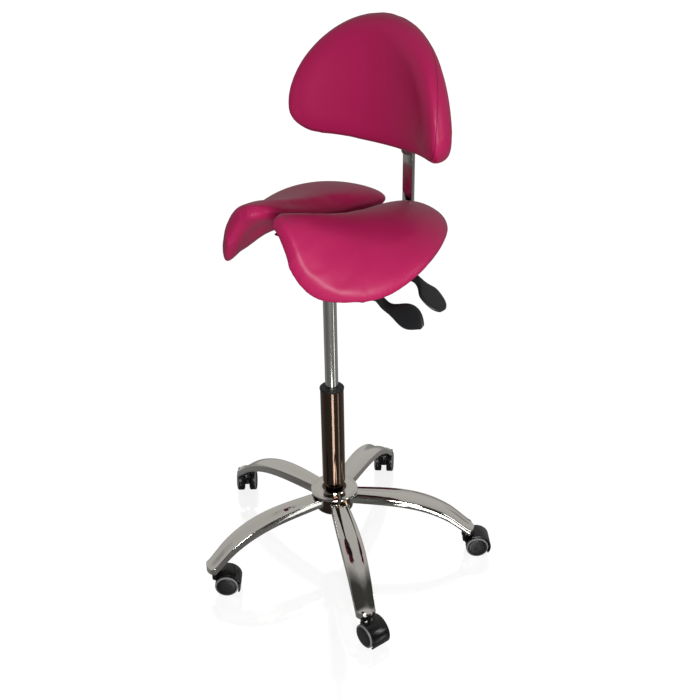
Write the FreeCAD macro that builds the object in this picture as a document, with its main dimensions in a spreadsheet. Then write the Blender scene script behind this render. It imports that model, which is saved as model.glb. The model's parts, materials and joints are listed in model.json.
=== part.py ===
import FreeCAD, Part

# Split-saddle stool with a backrest, on a gas column and a five-arm caster base. Millimetres.
# The stool stands on z = 0 with its column on the Z axis. The sitter looks along -Y, and +X is the
# sitter's left, where the two levers are.

import math
import os

import Sketcher

Vector = FreeCAD.Vector
Rotation = FreeCAD.Rotation
Placement = FreeCAD.Placement
X_AXIS, Y_AXIS, Z_AXIS = Vector(1, 0, 0), Vector(0, 1, 0), Vector(0, 0, 1)

SIZES = dict(
    # base: hub barrel, cover flange and five pressed arms
    hub_radius=41.0, hub_bottom=114.0, hub_top=155.0, hub_wall=4.0, sleeve_radius=24.0,
    flange_radius=52.0, flange_height=6.0, flange_bore=27.0,
    stem_circle=296.0, arm_count=5, first_arm_angle=-105.0, arm_top=151.0, arm_drop=72.0,
    arm_bend=3.5, arm_width_hub=36.0, arm_bulge=12.0, arm_depth_hub=20.0, arm_depth_tip=16.0,
    arm_crown=8.0, arm_wall=2.5, arm_overhang=17.5, nose_radius=26.0, arm_floor=59.0,
    # casters
    wheel_radius=25.0, wheel_width=18.0, wheel_gap=14.0, tread_depth=4.0, axle_radius=3.0,
    running_gap=0.1, side_gap=0.5, caster_trail=24.0, hood_gap=2.5, hood_wall=3.0,
    hood_width=42.0, stem_radius=5.5, boss_radius=10.0, boss_height=57.0, boss_length=10.0,
    stem_bottom=36.0, collar_radius=8.0, socket_radius=8.5, socket_bottom=60.0, stem_top=69.0,
    # gas column
    tube_radius=25.0, tube_wall=1.5, tube_bottom=178.0, tube_top=414.0, spigot_top_radius=20.0,
    spigot_end_radius=18.4, spigot_bottom=116.0, floor_wall=3.0, bush_cap_radius=26.0,
    bush_cap=4.5, bush_length=84.0, cylinder_radius=14.0, slide_gap=0.05, cylinder_bottom=338.0,
    rod_radius=5.0, rod_end_radius=4.0, rod_end=108.0, washer_thickness=2.0, washer_radius=14.0,
    cage_thickness=3.0, clip_radius=8.0, clip_thickness=2.0, seal_length=18.0, piston_length=12.0,
    bore_radius=12.5, lift_stroke=200.0, cylinder_taper_radius=13.0, taper_length=44.0,
    valve_radius=4.0, valve_length=32.0, valve_stand=8.0,
    # mechanism block under the seat
    block_half_width=42.0, block_front=62.0, block_rear=72.0, block_bottom=684.0, block_top=720.0,
    block_wall=5.0, socket_boss_radius=22.0, cylinder_top=708.0, crank_x=32.0, crank_z=711.5,
    crank_radius=4.0, height_lever_y=-40.0, tilt_lever_y=52.0, pivot_z=700.0, pivot_radius=5.0,
    height_neck_x=162.0, height_neck_z=691.0, tilt_neck_x=170.0, tilt_neck_z=703.0,
    rod_grip=14.0, paddle_width=46.0, paddle_thickness=9.0,
    # seat plate and supports
    plate_bottom=733.0, plate_thickness=4.0, plate_half_width=72.0, plate_front=58.0,
    plate_rear=105.0, ear_half=20.0, ear_wall=4.0, ear_gap=1.0, strip_thickness=3.0,
    strip_half_width=42.0, strip_top=779.0, strip_foot=32.0, strip_rise=14.3453, strip_end=23.6547,
    # seat halves: each size is given at the front, the middle and the rear of a half
    seat_centre=13.5, seat_front_reach=193.5, seat_rear_reach=191.5, seat_skew=19.0,
    half_gap=10.5, pad_thickness=50.0, span_front=213.5, span_middle=233.5, span_rear=194.0,
    ridge_front=878.0, ridge_middle=788.5, ridge_rear=762.0, ridge_sway=14.0,
    slope_front=27.0, slope_middle=-7.0, slope_rear=-11.5,
    roll_radius_front=159.0, roll_radius_middle=294.0, roll_radius_rear=400.0,
    inner_corner=5.0, outer_corner=2.2, board_thickness=10.0, board_edge=3.0, board_middle=0.17, board_reach=0.65,
    board_ridge=-0.62, board_inner=0.26, board_outer=0.85, board_flare=0.75, nose_outer=-0.69,
    nose_reach=-0.62, soft_gap=0.3,
    # backrest
    bar_width=26.0, bar_thickness=10.0, bar_y=234.0, bar_top=1000.0, bar_bend=11.0,
    bar_front=84.0, bar_gap=0.3, bracket_front=74.0, bracket_rear=140.0, bracket_wall=3.0,
    carrier_bottom=925.0, carrier_top=985.0, carrier_wall=4.0, tongue_reach=58.0, knob_radius=18.0, knob_depth=16.0,
    knob_stem=4.0, hinge_y=217.2, hinge_z=955.0, hinge_pin=4.0, hinge_wall=2.5, hinge_half=24.0,
    back_y=173.5, back_z=967.0, back_lean=5.3, back_curve=282.0, back_thickness=47.5,
    back_half_width=202.0, back_height=190.0, back_drop=64.0, back_corner=62.0, back_bow=900.0,
    back_board=8.0, back_board_inset=26.0, back_plate=3.0, back_plate_half=42.0,
)


class Size(float):
    """A length that carries its own text, so that what is worked out from it can be bound."""

    def __new__(cls, value, text):
        new = float.__new__(cls, value)
        new.text = text
        return new

    def join(self, other, value, sign, swapped=False):
        words = [self.text, getattr(other, "text", repr(float(other)))]
        if swapped:
            words.reverse()
        return Size(value, f"({words[0]} {sign} {words[1]})")

    def __add__(self, other):
        return self.join(other, float(self) + float(other), "+")

    def __sub__(self, other):
        return self.join(other, float(self) - float(other), "-")

    def __mul__(self, other):
        return self.join(other, float(self) * float(other), "*")

    def __truediv__(self, other):
        return self.join(other, float(self) / float(other), "/")

    def __radd__(self, other):
        return self.join(other, float(other) + float(self), "+", True)

    def __rsub__(self, other):
        return self.join(other, float(other) - float(self), "-", True)

    def __rmul__(self, other):
        return self.join(other, float(other) * float(self), "*", True)

    def __neg__(self):
        return Size(-float(self), f"(0 - {self.text})")


doc = FreeCAD.newDocument("SaddleStool")
sheet = doc.addObject("Spreadsheet::Sheet", "sizes")
for row, (alias, number) in enumerate(SIZES.items(), start=1):
    sheet.set(f"A{row}", alias)
    sheet.set(f"B{row}", str(number))
    sheet.setAlias(f"B{row}", alias)
doc.recompute()

size = {alias: Size(sheet.get(alias), f"sizes.{alias}") for alias in SIZES}
parts = {}


def bind(thing, name, value):
    """Set a property, and bind it to the sheet where the value comes from there."""
    if isinstance(value, Size):
        thing.setExpression(name, value.text)
    else:
        setattr(thing, name, value)


def keep(node, thing):
    """Name a finished sub-part."""
    thing.Label = node
    parts[node] = thing
    return thing


def place(thing, x=0.0, y=0.0, z=0.0, turn=None):
    """Move a finished sub-part, bound to the sheet."""
    thing.Placement = Placement(Vector(float(x), float(y), float(z)), turn or Rotation())
    for axis, value in zip("xyz", (x, y, z)):
        if isinstance(value, Size):
            thing.setExpression(f"Placement.Base.{axis}", value.text)
    return thing


# --- sketches ---------------------------------------------------------------------------------

def arc_middle(start, end, radius):
    """Middle point of an arc; a positive radius bulges to the left of the way from start to end."""
    chord = end - start
    sag = abs(radius) - math.sqrt(max(radius * radius - chord.Length ** 2 / 4, 0.0))
    side = Vector(-chord.y, chord.x, 0).normalize() * math.copysign(sag, radius)
    return (start + end) * 0.5 + side


def draw(sketch, outline):
    """Draw a closed outline of (x, y) or (x, y, radius) points and bind each to the sheet.

    A radius belongs to the edge that arrives at its point.
    """
    first = sketch.GeometryCount
    count = len(outline)
    ends = []
    for number in range(count):
        x, y = outline[number][:2]
        target = outline[(number + 1) % count]
        start, end = Vector(float(x), float(y), 0), Vector(float(target[0]), float(target[1]), 0)
        if len(target) < 3:
            sketch.addGeometry(Part.LineSegment(start, end))
            ends.append((1, 2))
        else:
            middle = arc_middle(start, end, float(target[2]))
            clockwise = target[2] > 0
            first_end, last_end = (end, start) if clockwise else (start, end)
            sketch.addGeometry(Part.Arc(first_end, middle, last_end))
            ends.append((2, 1) if clockwise else (1, 2))
    for number in range(count):
        after = (number + 1) % count
        here, there = first + number, first + after
        point = outline[after]
        sketch.addConstraint(Sketcher.Constraint(
            "Coincident", here, ends[number][1], there, ends[after][0]))
        for kind, value in (("DistanceX", point[0]), ("DistanceY", point[1])):
            index = sketch.addConstraint(Sketcher.Constraint(
                kind, -1, 1, there, ends[after][0], float(value)))
            if isinstance(value, Size):
                sketch.setExpression(f"Constraints[{index}]", value.text)
        if len(point) > 2:
            radius = -point[2] if point[2] < 0 else point[2]
            index = sketch.addConstraint(Sketcher.Constraint("Radius", here, float(radius)))
            if isinstance(radius, Size):
                sketch.setExpression(f"Constraints[{index}]", radius.text)


def draw_circle(sketch, x, y, radius):
    """Draw a circle bound to the sheet."""
    index = sketch.addGeometry(Part.Circle(Vector(float(x), float(y), 0), Z_AXIS, float(radius)))
    for kind, value in (("DistanceX", x), ("DistanceY", y)):
        number = sketch.addConstraint(Sketcher.Constraint(kind, -1, 1, index, 3, float(value)))
        if isinstance(value, Size):
            sketch.setExpression(f"Constraints[{number}]", value.text)
    number = sketch.addConstraint(Sketcher.Constraint("Radius", index, float(radius)))
    if isinstance(radius, Size):
        sketch.setExpression(f"Constraints[{number}]", radius.text)


def new_sketch(body, role):
    """A sketch on one of the body's own origin planes."""
    sketch = body.newObject("Sketcher::SketchObject", body.Name + "_sketch")
    flat = next(item for item in body.Origin.OriginFeatures if item.Role == role)
    sketch.AttachmentSupport = [(flat, "")]
    sketch.MapMode = "FlatFace"
    return sketch


def revolved(node, *outlines):
    """A body turned about its Z axis; the outlines hold (radius, height) points."""
    body = doc.addObject("PartDesign::Body", node)
    sketch = new_sketch(body, "XZ_Plane")
    for outline in outlines:
        draw(sketch, outline)
    turned = body.newObject("PartDesign::Revolution", node + "_turned")
    turned.Profile = sketch
    turned.ReferenceAxis = (sketch, ["V_Axis"])
    turned.Angle = 360
    return keep(node, body)


def padded(node, role, outline, length, holes=(), offset=None):
    """A body padded both ways from an origin plane; holes are (x, y, radius)."""
    body = doc.addObject("PartDesign::Body", node)
    sketch = new_sketch(body, role)
    draw(sketch, outline)
    for hole in holes:
        draw_circle(sketch, *hole)
    if offset is not None:
        sketch.AttachmentOffset = Placement(Vector(0, 0, float(offset)), Rotation())
        bind(sketch, "AttachmentOffset.Base.z", offset)
    pad = body.newObject("PartDesign::Pad", node + "_pad")
    pad.Profile = sketch
    pad.Midplane = True
    bind(pad, "Length", length)
    return keep(node, body)


def cut_through(body, role, name, outlines=(), circles=(), length=400.0):
    """Cut outlines or circles right through a body, both ways from an origin plane."""
    sketch = new_sketch(body, role)
    for outline in outlines:
        draw(sketch, outline)
    for circle in circles:
        draw_circle(sketch, *circle)
    doc.recompute()
    pocket = body.newObject("PartDesign::Pocket", name)
    pocket.Profile = sketch
    pocket.Midplane = True
    pocket.Length = length
    body.Tip = pocket
    return pocket


def rectangle(left, low, right, high):
    return [(left, low), (right, low), (right, high), (left, high)]


def shaped(node, shape, placement=None):
    """A sub-part whose shape comes from Part's own functions."""
    feature = doc.addObject("Part::Feature", node)
    feature.Shape = shape
    if placement:
        feature.Placement = placement
    return keep(node, feature)


def cylinder(radius, start, end):
    """A cylinder between two points."""
    way = end - start
    return Part.makeCylinder(float(radius), way.Length, start, way)


def smooth_wire(points):
    """A closed smooth wire through points."""
    curve = Part.BSplineCurve()
    curve.interpolate(points, PeriodicFlag=True)
    return Part.Wire([curve.toShape()])


# --- base -------------------------------------------------------------------------------------

arm_angles = [size["first_arm_angle"] + 360.0 / size["arm_count"] * number
              for number in range(int(size["arm_count"]))]
# Each caster has swung its own way as the stool was rolled into place.
caster_angles = (46.0, -8.0, 46.0, 130.0, 136.0)


def spigot_radius(height):
    """Radius of the column's tapered spigot, which seats in the hub's sleeve."""
    share = (height - size["spigot_bottom"]) / (size["tube_bottom"] - 4.0 - size["spigot_bottom"])
    return size["spigot_end_radius"] + (size["spigot_top_radius"] - size["spigot_end_radius"]) * share


def make_hub():
    """Barrel with a top web and the tapered sleeve that grips the column."""
    bottom, top, wall = size["hub_bottom"], size["hub_top"], size["hub_wall"]
    outer = size["hub_radius"]
    revolved("base_hub", [
        (spigot_radius(bottom), bottom), (size["sleeve_radius"], bottom),
        (size["sleeve_radius"], top - wall), (outer - wall, top - wall),
        (outer - wall, bottom), (outer, bottom), (outer, top), (spigot_radius(top), top)])
    rim, height, bore = size["flange_radius"], size["flange_height"], size["flange_bore"]
    revolved("hub_flange", [
        (bore, top), (rim - 2.0, top), (rim, top + 2.0, -2.0), (rim - 3.0, top + 5.0, -3.0),
        (rim - 5.0, top + height - 2.0), (rim - 8.0, top + height), (bore + 4.0, top + height),
        (bore + 3.0, top + height + 1.5), (bore, top + height + 1.5)])


def arm_share(reach):
    """How far out along the arm a section lies: 0 at the hub and 1 at the caster stem."""
    return (reach - size["hub_radius"]) / (size["stem_circle"] - size["hub_radius"])


def arm_height(reach):
    """Height of the arm's ridge, nearly level at first and then bending down to the caster."""
    return float(size["arm_top"] - size["arm_drop"]
                 * min(max(float(arm_share(reach)), 0.0), 1.02) ** float(size["arm_bend"]))


def arm_half_width(reach):
    """Half width of the arm, widest past its middle."""
    share = min(max(float(arm_share(reach)), 0.0), 1.0)
    return float(size["arm_width_hub"] / 2 + size["arm_bulge"] / 2 * math.sin(2.7 * share))


def arm_section(reach, inset, drop):
    """Section of the arm across its length: two side walls and a crowned top."""
    half = arm_half_width(reach) - inset
    top = arm_height(reach) - inset
    share = min(max(float(arm_share(reach)), 0.0), 1.0)
    depth = size["arm_depth_hub"] + (size["arm_depth_tip"] - size["arm_depth_hub"]) * share
    bottom = max(arm_height(reach) - depth, float(size["arm_floor"])) - drop
    shoulder = top - size["arm_crown"]
    crown = []
    for step in range(5):
        angle = math.pi * (1 - step / 4)
        cos, sin = math.cos(angle), math.sin(angle)
        crown.append(Vector(reach, half * math.copysign(abs(cos) ** 0.6, cos),
                            shoulder + size["arm_crown"] * sin ** 0.6 if sin > 1e-9 else shoulder))
    over = Part.BSplineCurve()
    over.interpolate(crown, InitialTangent=Vector(0, 0, 1), FinalTangent=Vector(0, 0, -1))
    left, right = Vector(reach, -half, bottom), Vector(reach, half, bottom)
    return Part.Wire([Part.LineSegment(left, crown[0]).toShape(), over.toShape(),
                      Part.LineSegment(crown[-1], right).toShape(),
                      Part.LineSegment(right, left).toShape()])


def arm_plan(inset):
    """Upright block that cuts the arm's nose round beyond the caster stem."""
    stem, radius = float(size["stem_circle"]), float(size["nose_radius"])
    nose = Vector(stem + float(size["arm_overhang"]) - radius, 0, 0)
    block = Part.makeBox(stem, 200.0, 400.0, Vector(0, -100.0, 0))
    return block.fuse(Part.makeCylinder(radius - inset, 400.0, nose))


def make_arms():
    """Five pressed arms, open underneath, welded to the hub, each with its caster's socket."""
    stem, wall = float(size["stem_circle"]), float(size["arm_wall"])
    reaches = [stem * (0.08 + 0.102 * step) for step in range(11)]
    outer = Part.makeLoft([arm_section(reach, 0.0, 0.0) for reach in reaches], True)
    inner = Part.makeLoft([arm_section(reach, wall, 14.0) for reach in reaches], True)
    hollow = inner.common(arm_plan(wall))
    barrel = Part.makeCylinder(float(size["hub_radius"]), 400.0)
    arm = outer.common(arm_plan(0.0)).cut(hollow).cut(barrel)
    bore = Part.makeCylinder(size["stem_radius"] + 0.05, 60.0, Vector(stem, 0, 50.0))
    sleeve = Part.makeCylinder(float(size["socket_radius"]), 60.0,
                               Vector(stem, 0, float(size["socket_bottom"])))
    socket = sleeve.common(hollow).cut(bore)
    sockets = []
    for number, angle in enumerate(arm_angles, start=1):
        turn = Placement(Vector(), Rotation(Z_AXIS, float(angle)))
        shaped(f"base_arm_{number}", arm, turn)
        turned = socket.copy()
        turned.Placement = turn
        sockets.append(turned)
    shaped("caster_sockets", Part.makeCompound(sockets))


# --- casters ----------------------------------------------------------------------------------

def make_stems():
    """Five chromed stems, each with the collar that carries the arm."""
    radius, collar = size["stem_radius"], size["collar_radius"]
    low, high, seat = size["stem_bottom"], size["stem_top"], size["socket_bottom"]
    stem = cylinder(radius, Vector(0, 0, float(low)), Vector(0, 0, float(high)))
    ring = cylinder(collar, Vector(0, 0, size["boss_height"] + 0.4), Vector(0, 0, float(seat)))
    one = stem.fuse(ring).removeSplitter()
    stems = []
    for angle in arm_angles:
        turned = one.copy()
        turned.Placement = Placement(
            Rotation(Z_AXIS, float(angle)).multVec(Vector(float(size["stem_circle"]), 0, 0)),
            Rotation())
        stems.append(turned)
    shaped("caster_stems", Part.makeCompound(stems))


def hood_shape():
    """Hood over a wheel pair: a curved cover, a web between the wheels, the stem boss, the axle.

    The swivel axis is the local Z axis and the wheels trail along local +X.
    """
    trail, axle_z = float(size["caster_trail"]), float(size["wheel_radius"])
    inner = size["wheel_radius"] + size["hood_gap"]
    outer = float(inner + size["hood_wall"])
    web = float(size["wheel_gap"] / 2 - size["side_gap"])
    half = float(size["hood_width"] / 2)
    centre = Vector(trail, 0, axle_z)

    def at(radius, degrees):
        angle = math.radians(degrees)
        return centre + Vector(radius * math.cos(angle), 0, radius * math.sin(angle))

    front, rear = 118.0, -33.0
    cover = Part.Face(Part.Wire([
        Part.Arc(at(outer, front), at(outer, 45), at(outer, rear)).toShape(),
        Part.LineSegment(at(outer, rear), at(inner, rear)).toShape(),
        Part.Arc(at(inner, rear), at(inner, 45), at(inner, front)).toShape(),
        Part.LineSegment(at(inner, front), at(outer, front)).toShape()]))
    cover = cover.extrude(Vector(0, 2 * half, 0)).translated(Vector(0, -half, 0))
    boss_x = float(size["stem_radius"] + 1.5)
    low = float(size["stem_bottom"] - 3.0)
    high = float(size["boss_height"] - size["boss_length"])
    web_face = Part.Face(Part.Wire([
        Part.LineSegment(Vector(-boss_x, 0, high), Vector(-boss_x, 0, low)).toShape(),
        Part.LineSegment(Vector(-boss_x, 0, low), at(9.0, 200)).toShape(),
        Part.Arc(at(9.0, 200), at(9.0, 270), at(9.0, rear)).toShape(),
        Part.LineSegment(at(9.0, rear), at(inner + 1.0, rear)).toShape(),
        Part.Arc(at(inner + 1.0, rear), at(inner + 1.0, 45), at(inner + 1.0, front)).toShape(),
        Part.LineSegment(at(inner + 1.0, front), Vector(-boss_x, 0, high)).toShape()]))
    web_solid = web_face.extrude(Vector(0, 2 * web, 0)).translated(Vector(0, -web, 0))
    boss = cylinder(size["boss_radius"], Vector(0, 0, high), Vector(0, 0, float(size["boss_height"])))
    hole = cylinder(size["stem_radius"] + size["running_gap"],
                    Vector(0, 0, float(size["stem_bottom"] - 0.4)),
                    Vector(0, 0, size["boss_height"] + 1.0))
    axle_half = float(size["wheel_gap"] / 2 + size["wheel_width"] - 4.0)
    axle = cylinder(size["axle_radius"], centre - Vector(0, axle_half, 0),
                    centre + Vector(0, axle_half, 0))
    return cover.fuse([web_solid, boss]).cut(hole).fuse(axle).removeSplitter()


def make_casters():
    hood = hood_shape()
    gap, width = size["wheel_gap"] / 2, size["wheel_width"]
    bore, rim = size["axle_radius"] + size["running_gap"], size["wheel_radius"]
    step = rim - size["tread_depth"]
    for number, (arm, trail) in enumerate(zip(arm_angles, caster_angles), start=1):
        turn = Rotation(Z_AXIS, trail)
        stem = Rotation(Z_AXIS, float(arm)).multVec(Vector(float(size["stem_circle"]), 0, 0))
        shaped(f"caster_hood_{number}", hood, Placement(stem, turn))
        axle = stem + turn.multVec(Vector(float(size["caster_trail"]), 0, 0))
        for side, tilt in (("left", -90), ("right", 90)):
            # The wheel is drawn standing on its own Z axis: its inner face is at the height gap.
            wheel = revolved(
                f"caster_wheel_{number}_{side}",
                [(bore, gap), (step, gap), (step, gap + width - 1.5),
                 (step - 3.0, gap + width), (step - 6.0, gap + width - 1.5),
                 (bore + 5.0, gap + width - 1.0), (bore + 3.0, gap + width - 3.0),
                 (bore, gap + width - 3.0)],
                [(step, gap + 0.5), (rim - 2.0, gap + 0.5), (rim, gap + 3.0, -3.5),
                 (rim, gap + width - 4.0), (rim - 2.0, gap + width - 1.5, -3.5),
                 (step, gap + width - 1.5)])
            place(wheel, axle.x, axle.y, rim, turn.multiply(Rotation(X_AXIS, tilt)))


# --- gas column -------------------------------------------------------------------------------

def make_column():
    """Outer tube with its swaged spigot and floor, and the guide bush whose cap shows on top."""
    radius, wall, low, high = (size[name] for name in
                               ("tube_radius", "tube_wall", "tube_bottom", "tube_top"))
    floor, end = size["spigot_bottom"], size["spigot_end_radius"]
    top, thick = size["spigot_top_radius"], size["floor_wall"]
    revolved("column_tube", [
        (size["rod_end_radius"] + 0.3, floor), (end, floor), (top, low - 4.0), (radius, low + 4.0),
        (radius, high), (radius - wall, high), (radius - wall, low + 6.0), (top - 2.5, low - 2.0),
        (end - 2.5, floor + thick), (size["rod_end_radius"] + 0.3, floor + thick)])
    cap, length = size["bush_cap_radius"], size["bush_length"]
    inner, outer = size["cylinder_radius"] + size["slide_gap"], radius - wall
    revolved("column_bush", [
        (inner, high - length), (outer, high - length), (outer, high), (cap, high),
        (cap, high + size["bush_cap"] - 2.0), (cap - 2.0, high + size["bush_cap"], 2.0),
        (inner, high + size["bush_cap"])])


def make_thrust_bearing():
    """Two washers with a ball cage between them, on the tube's floor; the rod turns on them."""
    floor = size["spigot_bottom"] + size["floor_wall"]
    washer, cage = size["washer_thickness"], size["cage_thickness"]
    outer, inner = size["washer_radius"], size["rod_end_radius"]
    cage_top = floor + washer + cage
    revolved("thrust_washer_lower", rectangle(inner + 0.3, floor, outer, floor + washer))
    revolved("thrust_cage", rectangle(inner + 1.0, floor + washer, outer - 1.0, cage_top))
    revolved("thrust_washer_upper",
             rectangle(inner, cage_top + 0.1, outer, cage_top + 0.1 + washer))
    shoulder = cage_top + 0.1 + washer
    low, clip = size["rod_end"], size["clip_thickness"]
    seal_top = size["cylinder_bottom"] + size["seal_length"]
    rod_top = seal_top + size["piston_length"] + 4.0
    revolved("piston_rod", [
        (0.0, low), (inner, low), (inner, shoulder), (size["rod_radius"], shoulder),
        (size["rod_radius"], seal_top + 0.5), (inner, seal_top + 0.5), (inner, rod_top),
        (0.0, rod_top)])
    revolved("rod_clip", rectangle(inner, low + 3.0, size["clip_radius"], low + 3.0 + clip))
    revolved("gas_piston", [
        (inner, seal_top + 0.5), (size["bore_radius"] - 0.1, seal_top + 0.5),
        (size["bore_radius"] - 0.1, seal_top + 0.5 + size["piston_length"]),
        (inner, seal_top + 0.5 + size["piston_length"])])


def make_cylinder():
    """Bright gas cylinder with its tapered top, the rod seal in its mouth and the valve pin."""
    outer, taper = size["cylinder_radius"], size["cylinder_taper_radius"]
    low, top, bore = size["cylinder_bottom"], size["cylinder_top"], size["bore_radius"]
    seal_top = low + size["seal_length"]
    chamber = seal_top + size["piston_length"] + size["lift_stroke"] + 8.0
    valve = size["valve_radius"] + size["slide_gap"]
    pin_low = top + size["valve_stand"] - size["valve_length"]
    revolved("gas_cylinder", [
        (bore, low), (outer, low), (outer, top - size["taper_length"]), (taper, top),
        (valve, top), (valve, pin_low - 6.0), (0.0, pin_low - 6.0), (0.0, chamber),
        (bore, chamber)])
    revolved("rod_seal", rectangle(size["rod_radius"] + size["slide_gap"], low, bore, seal_top))
    revolved("valve_pin", [
        (0.0, pin_low), (size["valve_radius"], pin_low),
        (size["valve_radius"], top + size["valve_stand"] - 1.0),
        (size["valve_radius"] - 1.0, top + size["valve_stand"]),
        (0.0, top + size["valve_stand"])])


# --- mechanism --------------------------------------------------------------------------------

def make_block():
    """Cast block: a tray with the taper socket in its floor and bearings for the two cranks."""
    half, front, rear = (float(size[name]) for name in
                         ("block_half_width", "block_front", "block_rear"))
    low, high, wall = (float(size[name]) for name in ("block_bottom", "block_top", "block_wall"))
    tray = Part.makeBox(2 * half, front + rear, high - low, Vector(-half, -front, low))
    tray = tray.makeFillet(10.0, [edge for edge in tray.Edges if abs(edge.tangentAt(0).z) > 0.9])
    room = Part.makeBox(2 * (half - wall), front + rear - 2 * wall, high,
                        Vector(wall - half, wall - front, low + wall))
    room = room.makeFillet(6.0, [edge for edge in room.Edges if abs(edge.tangentAt(0).z) > 0.9])
    socket_low = size["cylinder_top"] - size["taper_length"]
    boss = cylinder(size["socket_boss_radius"], Vector(0, 0, float(socket_low)),
                    Vector(0, 0, float(size["cylinder_top"])))
    ribs = [Part.makeBox(4.0, front + rear - 2.0, 12.0, Vector(-2.0, 1.0 - front, low)),
            Part.makeBox(2 * half - 2.0, 4.0, 12.0, Vector(1.0 - half, -2.0, low))]
    taper = Part.makeCone(float(size["cylinder_radius"]), float(size["cylinder_taper_radius"]),
                          float(size["taper_length"]), Vector(0, 0, float(socket_low)))
    crank = float(size["crank_radius"] + size["running_gap"])
    x, z = float(size["crank_x"]), float(size["crank_z"])
    pillars = [Part.makeBox(half - x + 6.0, 6.0, high - low - 1.0, Vector(x - 6.5, y, low + 1.0))
               for y in (6.0, 30.0)]
    block = tray.cut(room).fuse([boss] + ribs + pillars).cut(taper)
    block = block.cut(cylinder(crank, Vector(x, 1.0 - front, z), Vector(x, rear - 1.0, z)))
    for lever_y in (size["height_lever_y"], size["tilt_lever_y"]):
        slot = Part.makeBox(wall + 4.0, 15.0, high, Vector(half - wall - 2.0, lever_y - 7.5, z - 13.0))
        block = block.cut(slot)
    pivot_z, pivot = float(size["pivot_z"]), size["pivot_radius"]
    for side in (-1, 1):
        lug = cylinder(9.0, Vector(side * (half - wall - 0.5), 0, pivot_z),
                       Vector(side * half, 0, pivot_z))
        hole = cylinder(pivot, Vector(side * (half - wall - 4.0), 0, pivot_z),
                        Vector(side * (half + 2.0), 0, pivot_z))
        block = block.fuse(lug).cut(hole)
    shaped("mechanism_block", block.removeSplitter())
    bolts = []
    for side in (-1, 1):
        outside = side * (half + size["ear_gap"] + size["ear_wall"] + 0.3)
        bolts.append(cylinder(pivot, Vector(side * (half - wall - 0.5), 0, pivot_z),
                              Vector(outside, 0, pivot_z))
                     .fuse(cylinder(9.0, Vector(outside, 0, pivot_z),
                                    Vector(outside + side * 5.0, 0, pivot_z))).removeSplitter())
    shaped("pivot_bolts", Part.makeCompound(bolts))


def rod_line(name):
    """Where a lever's straight rod starts, on its crank, and where its paddle's neck starts."""
    y = float(size[f"{name}_lever_y"])
    start = Vector(float(size["crank_x"]), y, float(size["crank_z"]))
    neck = Vector(float(size[f"{name}_neck_x"]), y, float(size[f"{name}_neck_z"]))
    return start, neck


def make_lever(name, shaft, inside):
    """Crank of round rod: a shaft along Y, an arm out to the paddle and what it moves inside."""
    radius = size["crank_radius"]
    start, neck = rod_line(name)
    way = (neck - start).normalize()
    low, high = (Vector(start.x, y, start.z) for y in shaft)
    arm = cylinder(radius, start, neck + way * float(size["rod_grip"]))
    shaped(f"{name}_lever", cylinder(radius, low, high).fuse([arm, inside]).removeSplitter())


def paddle_section(centre, way, width, height, twist):
    """Rounded section of a paddle across its path."""
    turn = Rotation(way, twist)
    across = turn.multVec(Y_AXIS)
    up = turn.multVec(way.cross(Y_AXIS))
    points = []
    for step in range(12):
        angle = math.tau * step / 12
        cos, sin = math.cos(angle), math.sin(angle)
        points.append(centre + across * (width / 2 * math.copysign(abs(cos) ** 0.7, cos))
                      + up * (height / 2 * math.copysign(abs(sin) ** 0.7, sin)))
    return smooth_wire(points)


def make_paddle(name, stations):
    """Moulded neck on the lever's rod that bends and flares into a flat shield.

    Stations hold the way on from the neck's start in x and z, the width and the height in
    shares of the shield's width and thickness, and the twist in degrees.
    """
    start, neck = rod_line(name)
    way = (neck - start).normalize()
    wide, thick = float(size["paddle_width"]), float(size["paddle_thickness"])
    centres = [neck + Vector(x, 0, z) for x, z, *_ in stations]
    ways = [way] + [(after - before).normalize() for before, after in zip(centres, centres[2:])]
    ways.append((centres[-1] - centres[-2]).normalize())
    sections = [paddle_section(centre, along, wide * width, thick * height, twist)
                for centre, along, (_, _, width, height, twist) in zip(centres, ways, stations)]
    hole = cylinder(size["crank_radius"], neck - way, neck + way * float(size["rod_grip"]))
    shaped(f"{name}_paddle", Part.makeLoft(sections, True).cut(hole))


def make_levers():
    """The height lever presses the valve pin; the tilt lever frees the tilt."""
    x, z = float(size["crank_x"]), float(size["crank_z"])
    front, rear = float(size["block_front"]), float(size["block_rear"])
    pin_top = float(size["cylinder_top"] + size["valve_stand"])
    radius = float(size["crank_radius"])
    finger = Part.makeBox(x + 4.0, 8.0, 4.0, Vector(-4.0, -4.0, pin_top + 0.3))
    neck = Part.makeBox(2 * radius, 8.0, pin_top + 4.3 - z, Vector(x - radius, -4.0, z))
    make_lever("height", (1.2 - front, 12.0), finger.fuse(neck))
    pawl = Part.makeBox(x - 12.0, 6.0, 6.0, Vector(12.0, float(size["tilt_lever_y"]) + 6.0, z - 3.0))
    make_lever("tilt", (30.5, rear - 1.2), pawl)
    # The height paddle stands nearly on edge; the tilt paddle lies flat and droops.
    make_paddle("height", (
        (0, 0, 0.33, 1.7, 0), (16, -2.5, 0.35, 1.7, 6), (29, -9, 0.4, 1.5, 22),
        (44, -11, 0.5, 1.35, 44), (60, -11.5, 0.76, 1.1, 60), (77, -12, 0.98, 1.0, 63),
        (92, -13.5, 0.96, 0.95, 63), (106, -17.5, 0.66, 0.9, 63), (116, -22, 0.25, 0.7, 63)))
    make_paddle("tilt", (
        (0, 0, 0.33, 1.6, 0), (17, -1.5, 0.35, 1.5, 0), (29, -9, 0.56, 1.3, 0),
        (40, -16.5, 0.98, 1.05, 0), (54, -26, 1.08, 0.95, 0), (69, -36, 0.9, 0.9, 0),
        (80, -43, 0.34, 0.7, 0)))


# --- seat -------------------------------------------------------------------------------------

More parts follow.
